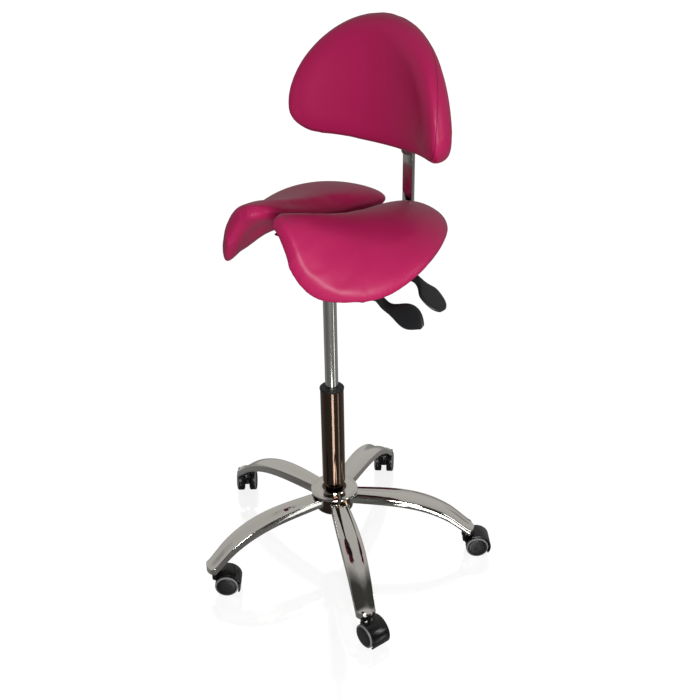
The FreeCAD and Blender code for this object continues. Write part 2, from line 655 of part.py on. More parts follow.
def blend(name, share):
    """A size given at the front, middle and rear of a seat half, blended by a parabola."""
    front, middle, rear = (float(size[f"{name}_{where}"]) for where in ("front", "middle", "rear"))
    return middle + (rear - front) / 2 * share + ((front + rear) / 2 - middle) * share ** 2


def half_form(share, form):
    """A form's place along a seat half, its ridge and how far it goes to the gap and outward.

    A form holds its middle and reach along the half, its ridge across it, the ways from there to
    the gap's edge and to the outer edge, and how much the outer way grows towards the rear.
    """
    middle, reach, ridge, inner, outer, flare = form
    along = (share - middle) / reach
    return along, ridge, inner, outer * (1 + flare * along)


def half_nearness(share, across, form):
    """How near to the rim a place on a seat half is: 0 on the form's ridge and 1 on its rim."""
    along, ridge, inner, outer = half_form(share, form)
    corner = float(size["inner_corner"] if across < ridge else size["outer_corner"])
    aside = abs(across - ridge) / (inner if across < ridge else outer)
    return min((abs(along) ** corner + aside ** corner) ** (1 / corner), 1.0)


def half_limits(share, form):
    """Where a form's rim lies across a seat half, on the gap's side and on the outer side."""
    along, ridge, inner, outer = half_form(share, form)
    return [ridge + way * (1 - abs(along) ** float(size[f"{edge}_corner"]))
            ** (1 / float(size[f"{edge}_corner"]))
            for way, edge in ((-inner, "inner"), (outer, "outer"))]


def seat_point(share, across, lift):
    """A point of the left seat half: share runs from -1, front, to 1, rear; across from -1, at the
    gap, to 1, at the outer edge; lift is the height over the pad's middle surface."""
    span = blend("span", share) / 2
    run = span * (1 + across)
    bend = (1 / float(size["roll_radius_middle"])
            + (1 / size["roll_radius_rear"] - 1 / size["roll_radius_front"]) / 2 * share
            + ((1 / size["roll_radius_front"] + 1 / size["roll_radius_rear"]) / 2
               - 1 / size["roll_radius_middle"]) * share ** 2)
    begin = math.radians(blend("slope", share))
    angle = begin + float(bend) * run
    ridge = blend("ridge", share) + float(size["ridge_sway"]) * (share - share ** 3)
    reach = size["seat_front_reach"] if share < 0 else size["seat_rear_reach"]
    x = float(size["half_gap"]) + (math.sin(angle) - math.sin(begin)) / float(bend)
    x += lift * math.sin(angle)
    z = ridge + (math.cos(angle) - math.cos(begin)) / float(bend) + lift * math.cos(angle)
    skew = float(size["seat_skew"]) * (1 - 2 * x / blend("span", 0))
    return Vector(x, float(size["seat_centre"] + reach * share) + skew, z)


def half_rows(share, limits, form, top, bottom, steps=9):
    """Points across a seat half on two surfaces, each a function of nearness to the rim."""
    low, high = limits(share, form)
    upper, lower = [], []
    for step in range(steps):
        across = (low + high) / 2 - (high - low) / 2 * math.cos(math.pi * step / (steps - 1))
        near = half_nearness(share, across, form)
        upper.append(seat_point(share, across, top(near)))
        lower.append(seat_point(share, across, bottom(near)))
    return upper, lower


def half_section(share, limits, form, top, bottom):
    """Closed section across a seat half with an upright edge on either side."""
    upper, lower = half_rows(share, limits, form, top, bottom)
    over, under = Part.BSplineCurve(), Part.BSplineCurve()
    over.interpolate(upper)
    under.interpolate(lower[::-1])
    return Part.Wire([over.toShape(), Part.LineSegment(upper[-1], lower[-1]).toShape(),
                      under.toShape(), Part.LineSegment(lower[0], upper[0]).toShape()])


def half_skin(form, top, bottom):
    """Solid of a seat half: one smooth skin through rings along the half, closed at both ends."""
    rings = []
    for step in range(15):
        upper, lower = half_rows(math.sin(math.radians(-78.5 + 157.0 * step / 14)), half_limits,
                                 form, top, bottom, 11)
        rings.append(upper + lower[-2:0:-1] + upper[:1])
    skin = Part.BSplineSurface()
    skin.interpolate(rings)
    side = skin.toShape()
    ends = [Part.Face(Part.Wire(edge)) for edge in side.Edges
            if edge.Vertexes[0].Point.distanceToPoint(edge.Vertexes[-1].Point) < 0.01]
    shell = Part.makeShell([side] + ends)
    shell.sewShape()
    return Part.makeSolid(shell)


def make_seat():
    """Two mirrored halves: a thick pad on a moulded board with bosses down to the supports."""
    half = float(size["pad_thickness"] / 2)

    def pad_top(near):
        return half * math.sqrt(max(1 - near ** 4, 0.0))

    def pad_bottom(near):
        return -half * math.sqrt(max(1 - near ** 6, 0.0))

    board_top = -half - float(size["soft_gap"])
    edge = float(size["board_edge"])

    def board_bottom(near):
        return board_top - edge - float(size["board_thickness"] - edge) * math.sqrt(1 - near ** 4)

    pad = half_skin((0.0, 1.0, 0.0, 1.0, 1.0, 0.0), pad_top, pad_bottom)
    form = [float(size[f"board_{name}"])
            for name in ("middle", "reach", "ridge", "inner", "outer", "flare")]
    board = Part.makeLoft([half_section(form[0] + along * form[1], half_limits, form,
                                        lambda near: board_top + 4.0, board_bottom)
                           for along in (-0.97, -0.88, -0.7, -0.4, 0.0, 0.4, 0.7, 0.88, 0.97)], True)
    nose_front, nose_outer = float(size["nose_reach"]), float(size["nose_outer"])
    nose = Part.makeLoft([half_section(nose_front * along,
                                       lambda share, form: (form[2] - form[3], nose_outer), form,
                                       lambda near: board_top + 4.0, board_bottom)
                          for along in (1.0, 0.8, 0.6, 0.4)], True)
    board = board.fuse(nose).removeSplitter()
    board = board.cut(pad.translated(Vector(0, 0, -float(size["soft_gap"]))))
    plate_top = float(size["plate_bottom"] + size["plate_thickness"])
    bosses, bolts = [], []
    for share, across, floor, under in (
            (-0.33, -0.58, plate_top, plate_top - size["plate_thickness"]),
            (0.0, -0.58, plate_top, plate_top - size["plate_thickness"]),
            (0.35, -0.58, plate_top, plate_top - size["plate_thickness"]),
            (-0.54, -0.79, float(size["strip_top"]), size["strip_top"] - size["strip_thickness"])):
        spot = seat_point(share, across, board_top - float(size["board_thickness"] / 2))
        bosses.append(cylinder(9.0, Vector(spot.x, spot.y, floor), spot))
        head = Vector(spot.x, spot.y, float(under) - 0.0)
        bolts.append(cylinder(3.0, head, Vector(spot.x, spot.y, floor + 2.0))
                     .fuse(cylinder(6.0, head - Vector(0, 0, 4.0), head)).removeSplitter())
    board = board.fuse(bosses).removeSplitter()
    for bolt in bolts:
        board = board.cut(bolt)
    mirror = (Vector(0, 0, 0), X_AXIS)
    shaped("seat_pad_left", pad)
    shaped("seat_pad_right", pad.mirror(*mirror))
    shaped("seat_board_left", board)
    shaped("seat_board_right", board.mirror(*mirror))
    both = bolts + [bolt.mirror(*mirror) for bolt in bolts]
    shaped("seat_bolts", Part.makeCompound(both))
    return [(bolt.BoundBox.Center.x, bolt.BoundBox.Center.y) for bolt in both]


def make_plate(bolt_places):
    """Pressed plate with two ears for the pivot bolts, and the strip that props the front."""
    low, thick = size["plate_bottom"], size["plate_thickness"]
    wide, front, rear = size["plate_half_width"], size["plate_front"], size["plate_rear"]
    half, gap, wall = size["block_half_width"], size["ear_gap"], size["ear_wall"]
    plate = Part.makeBox(float(wide * 2), float(front + rear), float(thick),
                         Vector(-float(wide), -float(front), float(low)))
    plate = plate.makeFillet(14.0, [edge for edge in plate.Edges if abs(edge.tangentAt(0).z) > 0.9])
    pivot_z, ear = float(size["pivot_z"]), float(size["ear_half"])
    pieces = []
    for side in (-1, 1):
        start = side * float(half + gap)
        flat = Part.Face(Part.Wire([
            Part.LineSegment(Vector(start, -ear, float(low)), Vector(start, -ear, pivot_z)).toShape(),
            Part.Arc(Vector(start, -ear, pivot_z), Vector(start, 0, pivot_z - ear),
                     Vector(start, ear, pivot_z)).toShape(),
            Part.LineSegment(Vector(start, ear, pivot_z), Vector(start, ear, float(low))).toShape(),
            Part.LineSegment(Vector(start, ear, float(low)),
                             Vector(start, -ear, float(low))).toShape()]))
        pieces.append(flat.extrude(Vector(side * float(wall), 0, 0)))
    plate = plate.fuse(pieces).removeSplitter()
    for side in (-1, 1):
        plate = plate.cut(cylinder(size["pivot_radius"] + size["running_gap"],
                                   Vector(side * float(half), 0, pivot_z),
                                   Vector(side * float(half + gap + wall + 1.0), 0, pivot_z)))
    for x, y in bolt_places:
        plate = plate.cut(cylinder(3.0, Vector(x, y, low - 1.0), Vector(x, y, low + thick + 1.0)))
    shaped("seat_plate", plate)
    sheet_gauge, top = size["strip_thickness"], size["strip_top"]
    front_bolt = min(y for x, y in bolt_places)
    rise, end = front_bolt + size["strip_rise"], front_bolt - size["strip_end"]
    foot = rise + size["strip_foot"]
    floor = low + thick
    strip = padded("front_strip", "YZ_Plane", [
        (foot, floor), (foot, floor + sheet_gauge), (foot - 22.0, floor + sheet_gauge),
        (rise, top), (end, top), (end, top - sheet_gauge),
        (rise - sheet_gauge, top - sheet_gauge), (foot - 22.0 - sheet_gauge, floor)], size["strip_half_width"] * 2)
    doc.recompute()
    cut_through(strip, "XY_Plane", "front_strip_holes",
                circles=[(x, y, 3.0) for x, y in bolt_places if y < float(rise)],
                length=2000.0)


# --- backrest ---------------------------------------------------------------------------------

def knob(node, position, turn):
    """Star knob with six lobes on a short screw; the screw points along local +Z from zero."""
    radius, depth = float(size["knob_radius"]), float(size["knob_depth"])
    points = []
    for step in range(24):
        angle = math.tau * step / 24
        lobe = radius * (1 + 0.07 * math.cos(6 * angle))
        points.append(Vector(lobe * math.cos(angle), lobe * math.sin(angle), -depth))
    grip = Part.Face(smooth_wire(points)).extrude(Vector(0, 0, depth))
    screw = cylinder(size["knob_stem"], Vector(0, 0, -1.0), Vector(0, 0, 10.0))
    shaped(node, grip.fuse(screw).removeSplitter(), Placement(position, turn))


def make_bar():
    """Flat chromed bar, bent up behind the seat, in the socket under the seat plate."""
    wall, gap, thick = size["bracket_wall"], size["bar_gap"], size["bar_thickness"]
    top = size["plate_bottom"] - wall - gap
    low, back, bend = top - thick, size["bar_y"] + thick / 2, size["bar_bend"]
    front = back - thick
    bar = padded("backrest_bar", "YZ_Plane", [
        (size["bar_front"], low), (back - bend - thick, low), (back, low + bend + thick, -(bend + thick)),
        (back, size["bar_top"]), (front, size["bar_top"]), (front, top + bend),
        (front - bend, top, bend), (size["bar_front"], top)], size["bar_width"])
    doc.recompute()
    half = size["bar_width"] / 2 + gap
    plate = size["plate_bottom"]
    middle = (size["bracket_front"] + size["bracket_rear"]) / 2
    length = size["bracket_rear"] - size["bracket_front"]
    bracket = padded("rear_bracket", "XZ_Plane", [
        (-(half + wall + 16.0), plate - wall), (-(half + wall), plate - wall),
        (-(half + wall), low - gap - wall), (half + wall, low - gap - wall),
        (half + wall, plate - wall), (half + wall + 16.0, plate - wall),
        (half + wall + 16.0, plate), (-(half + wall + 16.0), plate)], length, offset=-middle)
    doc.recompute()
    cut_through(bracket, "XZ_Plane", "rear_bracket_socket",
                outlines=[rectangle(-half, low - gap, half, top + gap)], length=600.0)
    doc.recompute()
    cut_through(bracket, "XY_Plane", "rear_bracket_screw_hole",
                circles=[(0.0, middle, size["knob_stem"] + size["running_gap"])],
                length=(low + 2.0) * 2)
    knob("bar_knob", Vector(0, float(middle), float(low - 10.3)), Rotation())
    return bar


def make_carrier():
    """Sleeve that slides on the upright, with two ears for the backrest's hinge."""
    wall, gap, thick = size["carrier_wall"], size["bar_gap"], size["bar_thickness"]
    low, high = float(size["carrier_bottom"]), float(size["carrier_top"])
    half = float(size["bar_width"] / 2 + gap)
    front = float(size["bar_y"] - thick / 2 - gap)
    back = float(size["bar_y"] + thick / 2 + gap)
    wall = float(wall)
    sleeve = Part.makeBox(2 * (half + wall), back - front + 2 * wall, high - low,
                          Vector(-half - wall, front - wall, low))
    sleeve = sleeve.makeFillet(3.0, [edge for edge in sleeve.Edges
                                     if abs(edge.tangentAt(0).z) > 0.9])
    hinge_y, hinge_z = float(size["hinge_y"]), float(size["hinge_z"])
    ear_radius = float(size["hinge_pin"] + size["hinge_wall"])
    ears = []
    for side in (-1, 1):
        start = side * 12.5
        end = side * float(half + wall)
        ears.append(cylinder(ear_radius, Vector(start, hinge_y, hinge_z), Vector(end, hinge_y, hinge_z))
                    .fuse(Part.makeBox(abs(end - start), front - hinge_y, 2 * ear_radius,
                                       Vector(min(start, end), hinge_y, hinge_z - ear_radius))))
    reach = float(size["tongue_reach"])
    tongue = Part.makeBox(2 * half, wall, reach + 1.0, Vector(-half, front - wall, low - reach))
    tongue = tongue.makeFillet(9.0, [edge for edge in tongue.Edges if abs(edge.tangentAt(0).y) > 0.9
                                     and edge.CenterOfMass.z < low - reach / 2])
    slot = Part.makeBox(8.0, wall + 2.0, 20.0, Vector(-4.0, front - wall - 1.0, low - reach + 14.0))
    tongue = tongue.cut(slot)
    channel = Part.makeBox(2 * half, back - front, high - low + 2, Vector(-half, front, low - 1))
    pin = cylinder(size["hinge_pin"] + size["running_gap"], Vector(-40, hinge_y, hinge_z),
                   Vector(40, hinge_y, hinge_z))
    screw = cylinder(size["knob_stem"] + size["running_gap"], Vector(0, back - 1, hinge_z),
                     Vector(0, back + wall + 1, hinge_z))
    shaped("back_carrier", sleeve.fuse(ears + [tongue]).cut(channel).cut(pin).cut(screw).removeSplitter())
    knob("height_knob", Vector(0, back + 10.0, hinge_z), Rotation(X_AXIS, 90))


def back_frame():
    """Frame of the cushion: its middle, leaning a little forward."""
    return Placement(Vector(0, float(size["back_y"]), float(size["back_z"])),
                     Rotation(X_AXIS, float(size["back_lean"])))


def back_outline(shrink):
    """D-shaped outline of the cushion, seen from the front: a round top and a slightly bowed foot."""
    half = float(size["back_half_width"]) - shrink
    height = float(size["back_height"]) - shrink
    drop, corner = float(size["back_drop"]) - shrink, float(size["back_corner"]) - shrink
    shoulder = corner - drop
    rise = height - shoulder
    top_radius = (half ** 2 + rise ** 2) / (2 * rise)
    foot = Vector(half - corner, -drop, 0)
    right = Vector(half, shoulder, 0)
    left = Vector(-half, shoulder, 0)
    corner_mid = foot + Vector(corner * math.sin(math.pi / 4), corner * (1 - math.cos(math.pi / 4)), 0)
    bow = arc_middle(Vector(-foot.x, foot.y, 0), foot, -float(size["back_bow"]))
    mirrored = Vector(-corner_mid.x, corner_mid.y, 0)
    edges = [Part.Arc(Vector(-foot.x, foot.y, 0), bow, foot).toShape(),
             Part.Arc(foot, corner_mid, right).toShape(),
             Part.Arc(right, arc_middle(right, left, -min(top_radius, 5 * half)), left).toShape()
             if rise < half * 0.5 else
             Part.Arc(right, Vector(0, height, 0), left).toShape(),
             Part.Arc(left, mirrored, Vector(-foot.x, foot.y, 0)).toShape()]
    wire = Part.Wire(edges)
    upright = Rotation(X_AXIS, 90)
    wire.Placement = Placement(Vector(), upright)
    return wire


def curved_slab(front, back, shrink):
    """Slab of the cushion's outline between two depths, wrapped forward about an upright axis."""
    curve = float(size["back_curve"])
    block = Part.Face(back_outline(shrink)).extrude(Vector(0, -400, 0))
    block.translate(Vector(0, 150, 0))
    ring = (Part.makeCylinder(curve + back, 600.0).cut(Part.makeCylinder(curve + front, 600.0)))
    ring.translate(Vector(0, -curve, -300.0))
    return block.common(ring)


def make_back():
    """Cushion, its board, and the plate with the hinge barrel."""
    half = float(size["back_thickness"] / 2)
    gap = float(size["soft_gap"])
    frame = back_frame()
    cushion = curved_slab(-half, half, 0.0)
    rounded = cushion.makeFillet(14.0, cushion.Edges)
    shaped("back_pad", rounded, frame)
    board_back = half + gap + float(size["back_board"])
    board = curved_slab(half + gap, board_back, float(size["back_board_inset"]))
    shaped("back_board", board, frame)
    plate_half = float(size["back_plate_half"])
    curve = float(size["back_curve"])
    plate_back = board_back + float(size["back_plate"])
    ring = Part.makeCylinder(curve + plate_back, 90.0).cut(Part.makeCylinder(curve + board_back, 90.0))
    inverse = frame.inverse()
    hinge = inverse.multVec(Vector(0, float(size["hinge_y"]), float(size["hinge_z"])))
    ring.translate(Vector(0, -curve, hinge.z - 45.0))
    window = Part.makeBox(2 * plate_half, 100.0, 90.0, Vector(-plate_half, 0.0, hinge.z - 45.0))
    plate = ring.common(window)
    barrel = cylinder(size["hinge_pin"] + size["hinge_wall"], Vector(-12.0, hinge.y, hinge.z),
                      Vector(12.0, hinge.y, hinge.z))
    web = Part.makeBox(24.0, hinge.y - plate_back + 2.0, 8.0,
                       Vector(-12.0, plate_back - 2.0, hinge.z - 4.0))
    hole = cylinder(size["hinge_pin"], Vector(-13.0, hinge.y, hinge.z),
                    Vector(13.0, hinge.y, hinge.z))
    shaped("back_plate", plate.fuse([barrel, web]).cut(hole).removeSplitter(), frame)
    hinge_half = float(size["hinge_half"])
    centre = Vector(0, float(size["hinge_y"]), float(size["hinge_z"]))
    shaped("hinge_pin", cylinder(size["hinge_pin"], centre - Vector(hinge_half, 0, 0),
                                 centre + Vector(hinge_half, 0, 0)))


make_hub()
make_arms()
make_stems()
make_casters()
make_column()
make_thrust_bearing()
make_cylinder()
make_block()
make_levers()
make_plate(make_seat())
make_bar()
make_carrier()
make_back()
doc.recompute()

for thing in doc.Objects:
    if "Invalid" in thing.State or "Error" in thing.State:
        raise RuntimeError(f"{thing.Label} failed: {thing.State}")
for node, thing in parts.items():
    if thing.Shape.isNull() or not thing.Shape.isValid() or not thing.Shape.Solids:
        raise RuntimeError(f"{node} has no valid solid")

os.makedirs("parts", exist_ok=True)
for node, thing in parts.items():
    thing.Shape.exportStep(f"parts/{node}.step")
    box = thing.Shape.BoundBox
    print(f"{node:22s} {len(thing.Shape.Solids)} solids  {thing.Shape.Volume / 1000:9.1f} cm3  "
          f"x {box.XMin:7.1f} {box.XMax:7.1f}  y {box.YMin:7.1f} {box.YMax:7.1f}  "
          f"z {box.ZMin:7.1f} {box.ZMax:7.1f}")
print(len(parts), "nodes")
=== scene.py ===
# %% [markdown]
# # A split-saddle stool
# The stool has a seat in two halves, a curved backrest on a flat bar, a gas column and a five-arm
# chromed base on twin-wheel casters. Its solids come from the CAD model and stay where they are.
# This lesson dresses them: each finish gets a material, and each soft or shaped piece that the
# solids only block out gets a mesh of its own.

import json
import math

import bmesh
import bpy
from mathutils import Matrix, Vector


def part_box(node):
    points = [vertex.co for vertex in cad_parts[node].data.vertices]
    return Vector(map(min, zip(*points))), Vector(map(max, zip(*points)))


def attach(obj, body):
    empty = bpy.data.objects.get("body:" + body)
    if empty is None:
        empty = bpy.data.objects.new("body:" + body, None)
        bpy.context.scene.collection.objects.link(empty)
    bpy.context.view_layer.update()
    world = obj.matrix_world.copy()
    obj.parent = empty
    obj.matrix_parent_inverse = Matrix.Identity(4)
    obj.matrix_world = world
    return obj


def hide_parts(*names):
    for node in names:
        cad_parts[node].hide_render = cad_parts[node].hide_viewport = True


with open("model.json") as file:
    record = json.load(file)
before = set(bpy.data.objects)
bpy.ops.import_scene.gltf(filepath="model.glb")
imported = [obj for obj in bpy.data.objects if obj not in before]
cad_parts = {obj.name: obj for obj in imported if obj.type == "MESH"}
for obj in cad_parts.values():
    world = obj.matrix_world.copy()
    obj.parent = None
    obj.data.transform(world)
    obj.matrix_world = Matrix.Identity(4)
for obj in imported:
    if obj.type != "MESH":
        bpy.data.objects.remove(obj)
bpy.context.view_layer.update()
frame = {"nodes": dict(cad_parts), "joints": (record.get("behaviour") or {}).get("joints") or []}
nodes = frame["nodes"]
print("CAD nodes:", len(nodes))
bpy.context.scene.view_settings.view_transform = "Standard"

# %% [markdown]
# ## The camera
# The stool is seen from the sitter's front left, from standing height, looking down a little. A
# camera is placed by its distance, its height and the way it looks, so this cell states those.

# %% Camera
CAMERA_DISTANCE = 1.799
CAMERA_HEIGHT = 1.466
CAMERA_AZIMUTH = math.radians(46.2)
CAMERA_YAW = 0.0219
CAMERA_PITCH = 0.4909
CAMERA_ROLL = -0.01445

camera_data = bpy.data.cameras.new("view")
camera_data.sensor_width = 36.0
camera_data.lens = 50.86
camera = bpy.data.objects.new("view", camera_data)
bpy.context.scene.collection.objects.link(camera)
stand = (Matrix.Rotation(CAMERA_AZIMUTH, 4, "Z")
         @ Matrix.Translation((0, -CAMERA_DISTANCE, CAMERA_HEIGHT)))
look = (Matrix.Rotation(-CAMERA_YAW, 4, "Z")
        @ Matrix.Rotation(math.pi / 2 - CAMERA_PITCH, 4, "X")
        @ Matrix.Rotation(CAMERA_ROLL, 4, "Z"))
camera.matrix_world = stand @ look
bpy.context.scene.camera = camera
print("camera at", [round(value, 3) for value in camera.matrix_world.translation])

# %% [markdown]
# ## Nodes and colours
# A colour is written as the hex value a paint program shows. Blender's sockets want linear light,
# so one function turns it. One more function adds a node with its settings and its links.

# %% Helpers for materials


def linear(hex_colour):
    """Linear RGBA of an sRGB hex value such as '#A01F4E'."""
    channels = [int(hex_colour[start:start + 2], 16) / 255 for start in (1, 3, 5)]
    return [c / 12.92 if c <= 0.04045 else ((c + 0.055) / 1.055) ** 2.4 for c in channels] + [1.0]


def add(tree, kind, links=(), **settings):
    """Add a node. Settings name its properties or its sockets; links are (socket, source)."""
    node = tree.nodes.new(kind)
    for name, value in settings.items():
        if hasattr(node, name):
            setattr(node, name, value)
        else:
            node.inputs[name.replace("_", " ")].default_value = value
    for socket, source in links:
        tree.links.new(source, node.inputs[socket])
    return node


def new_material(name, colour, **sockets):
    """A material with one Principled shader; returns the material, its tree and the shader."""
    material = bpy.data.materials.new(name)
    material.use_nodes = True
    tree = material.node_tree
    shader = tree.nodes["Principled BSDF"]
    shader.inputs["Base Color"].default_value = linear(colour)
    for socket, value in sockets.items():
        shader.inputs[socket.replace("_", " ")].default_value = value
    material.diffuse_color = linear(colour)
    return material, tree, shader


def dress(material, *names):
    """Give CAD nodes a material."""
    for name in names:
        slots = nodes[name].data.materials
        slots.clear()
        slots.append(material)


# %% [markdown]
# ## Leatherette
# The cushions wear PVC leatherette: vinyl on a knitted back, embossed with a fine grain. Vinyl has
# an IOR near 1.5, and the emboss makes it satin and weakens its mirror, so its specular level is
# lowered. Its colour drifts a little over a hand's width, as a dyed vinyl's does.

# %% Leatherette


def make_leatherette():
    material, tree, shader = new_material("magenta_leatherette", "#A81B52", IOR=1.5,
                                           Specular_IOR_Level=0.3)
    place = add(tree, "ShaderNodeTexCoord").outputs["Object"]
    cloudy = add(tree, "ShaderNodeTexNoise", [("Vector", place)], Scale=9.0, Detail=3.0)
    tint = add(tree, "ShaderNodeMix", [("Factor", cloudy.outputs["Fac"])], data_type="RGBA")
    tint.inputs[6].default_value = linear("#A81850")
    tint.inputs[7].default_value = linear("#B52059")
    tree.links.new(tint.outputs[2], shader.inputs["Base Color"])
    # The grain's cells are about 1.6 mm across.
    grain = add(tree, "ShaderNodeTexVoronoi", [("Vector", place)], Scale=1 / 0.0016)
    pores = add(tree, "ShaderNodeTexNoise", [("Vector", place)], Scale=1 / 0.0007, Detail=2.0)
    height = add(tree, "ShaderNodeMath",
                 [(0, grain.outputs["Distance"]), (1, pores.outputs["Fac"])], operation="ADD")
    bump = add(tree, "ShaderNodeBump", [("Height", height.outputs[0])], Strength=0.12,
               Distance=0.0002)
    tree.links.new(bump.outputs["Normal"], shader.inputs["Normal"])
    gloss = add(tree, "ShaderNodeMapRange", [("Value", cloudy.outputs["Fac"])], To_Min=0.38,
                To_Max=0.47)
    tree.links.new(gloss.outputs["Result"], shader.inputs["Roughness"])
    return material


leatherette = make_leatherette()

# %% [markdown]
# ## Metals
# The arms, the bar and the gas cylinder are steel plated with chromium: almost a mirror, with a
# faint haze. The hub and the column's tube are a darker, brownish chrome. Hidden fittings are
# zinc-plated steel.

# %% Metals


def make_metal(name, colour, low, high, patch):
    """Plated metal whose haze changes over patches of the given size in metres."""
    material, tree, shader = new_material(name, colour, Metallic=1.0)
    place = add(tree, "ShaderNodeTexCoord").outputs["Object"]
    haze = add(tree, "ShaderNodeTexNoise", [("Vector", place)], Scale=1 / patch, Detail=4.0)
    spread = add(tree, "ShaderNodeMapRange", [("Value", haze.outputs["Fac"])], To_Min=low,
                 To_Max=high)
    tree.links.new(spread.outputs["Result"], shader.inputs["Roughness"])
    return material


bright_chrome = make_metal("bright_chrome_plating", "#E0DFD9", 0.05, 0.11, 0.02)
dark_chrome = make_metal("dark_bronze_chrome_plating", "#6A584C", 0.06, 0.13, 0.02)
zinc_steel = make_metal("zinc_plated_steel", "#A9ABAD", 0.25, 0.4, 0.004)

# %% [markdown]
# ## Black plastics, paint and rubber
# The paddles and caster hoods are moulded nylon, the seat boards polypropylene, and the pressed
# brackets wear a powder coat. Each is nearly black, and they differ in how they scatter light.

# %% Plastics, paint and rubber


def make_moulded(name, colour, roughness, grain, depth):
    """Moulded or coated finish with a fine grain of the given size in metres."""
    material, tree, shader = new_material(name, colour, IOR=1.5)
    place = add(tree, "ShaderNodeTexCoord").outputs["Object"]
    specks = add(tree, "ShaderNodeTexNoise", [("Vector", place)], Scale=1 / grain, Detail=2.0)
    bump = add(tree, "ShaderNodeBump", [("Height", specks.outputs["Fac"])], Strength=depth,
               Distance=grain / 4)
    tree.links.new(bump.outputs["Normal"], shader.inputs["Normal"])
    rough = add(tree, "ShaderNodeMapRange", [("Value", specks.outputs["Fac"])],
                To_Min=roughness - 0.05, To_Max=roughness + 0.05)
    tree.links.new(rough.outputs["Result"], shader.inputs["Roughness"])
    return material


black_nylon = make_moulded("moulded_black_nylon", "#17191B", 0.42, 0.0011, 0.25)
hood_nylon = make_moulded("polished_black_nylon", "#0A0B0B", 0.22, 0.002, 0.08)
board_plastic = make_moulded("black_polypropylene", "#141415", 0.55, 0.0015, 0.3)
powder_coat = make_moulded("black_powder_coat", "#101011", 0.38, 0.0009, 0.3)
wheel_black = make_moulded("black_polyamide", "#121213", 0.36, 0.0014, 0.15)
# A grey painted highlight for the wheels' outer chamfer, not the colour of a tyre.
grey_painted_highlight = make_moulded("grey_polyurethane_tread", "#77777A", 0.5, 0.0012, 0.2)

# %% Dress the CAD nodes
arms = [name for name in nodes if name.startswith("base_arm_")]
hoods = [name for name in nodes if name.startswith("caster_hood_")]
wheels = [name for name in nodes if name.startswith("caster_wheel_")]
dress(bright_chrome, "hub_flange", "caster_stems", "gas_cylinder", "backrest_bar",
      "hinge_pin", *arms)
dress(dark_chrome, "base_hub", "column_tube")
dress(board_plastic, "seat_board_left", "seat_board_right", "caster_sockets", "column_bush")
dress(black_nylon, "height_paddle", "tilt_paddle", "bar_knob", "height_knob")
dress(hood_nylon, *hoods)
dress(grey_painted_highlight, *wheels)
dress(powder_coat, "mechanism_block", "seat_plate", "front_strip", "rear_bracket", "back_plate")
dress(zinc_steel, "thrust_washer_lower", "thrust_cage", "thrust_washer_upper", "piston_rod",
      "rod_clip", "gas_piston", "rod_seal", "valve_pin", "pivot_bolts", "seat_bolts",
      "height_lever", "tilt_lever", "back_carrier")
dress(leatherette, "seat_pad_left", "seat_pad_right", "back_pad", "back_board")

# %% [markdown]
# ## Twin wheels
# Each caster wheel is a moulded black disc with a blind bore for the axle; its outer chamfer is
# grey, a painted highlight for the light that chamfer catches. All are turned shapes, so a profile
# of a few points is spun about the axle. The way the axle points comes from the joint that the wheel
# rolls on, and the place from the CAD wheel's box.

# %% Wheels
WHEEL_RADIUS = 0.025
HIGHLIGHT_BAND_EDGE = 0.0225
WHEEL_HALF = 0.009
BORE_RADIUS = 0.0032
BORE_END = 0.0078


def wheel_mesh():
    """A wheel about local X, its outer face towards +X."""
    shape = bmesh.new()
    profile = [(BORE_END, BORE_RADIUS), (-WHEEL_HALF, BORE_RADIUS), (-WHEEL_HALF, 0.0225),
               (-0.0075, WHEEL_RADIUS),
               (0.0045, WHEEL_RADIUS), (0.0062, 0.0246), (0.0078, HIGHLIGHT_BAND_EDGE), (0.0072, 0.0217),
               (0.0082, 0.0209), (0.0087, 0.018), (0.0089, 0.010), (WHEEL_HALF, 0.0)]
    line = [shape.verts.new((along, 0, out)) for along, out in [(BORE_END, 0.0)] + profile]
    edges = [shape.edges.new(pair) for pair in zip(line, line[1:])]
    bmesh.ops.spin(shape, geom=line + edges, cent=(0, 0, 0), axis=(1, 0, 0), angle=math.tau,
                   steps=48, use_merge=True)
    bmesh.ops.remove_doubles(shape, verts=shape.verts, dist=1e-6)
    bmesh.ops.recalc_face_normals(shape, faces=shape.faces)
    for face in shape.faces:
        face.smooth = True
        middle = face.calc_center_median()
        out = math.hypot(middle.y, middle.z)
        # The outer chamfer takes the grey slot: a painted highlight.
        face.material_index = 1 if middle.x > 0.004 and out > 0.022 else 0
    return shape


def make_wheel(node, joint):
    """A wheel in the place of a CAD wheel; its outer face is the one away from the hood."""
    low, high = (Vector(corner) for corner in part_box(node))
    centre = (low + high) / 2
    axle = Vector(joint["axis"])
    fork = Vector(joint["pos_m"])
    outward = axle if axle.dot(centre - fork) > 0 else -axle
    shape = wheel_mesh()
    turn = outward.to_track_quat("X", "Z").to_matrix().to_4x4()
    bmesh.ops.transform(shape, matrix=Matrix.Translation(centre) @ turn, verts=shape.verts)
    mesh = bpy.data.meshes.new(node + "_turned")
    shape.to_mesh(mesh)
    shape.free()
    wheel = bpy.data.objects.new(node + "_turned", mesh)
    bpy.context.scene.collection.objects.link(wheel)
    mesh.materials.append(wheel_black)
    mesh.materials.append(grey_painted_highlight)
    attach(wheel, node.replace("caster_wheel", "wheel"))
    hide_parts(node)
    return wheel


joints = {joint["name"]: joint for joint in frame["joints"]}
for node in wheels:
    make_wheel(node, joints[node.replace("caster_wheel", "wheel") + "_roll"])
print("wheels:", len(wheels))

# %% [markdown]
# ## Softened edges
# Plated arms, moulded hoods and paddles have no sharp edge: polishing or the mould rounds each one,
# and it is this narrow round that catches the light. A copy of the solid is merged, its flat faces
# are joined, and a bevel rolls the sharp edges only.

# %% Softened edges
SHARP_EDGE = math.radians(35.0)
FLAT_ENOUGH = math.radians(1.0)


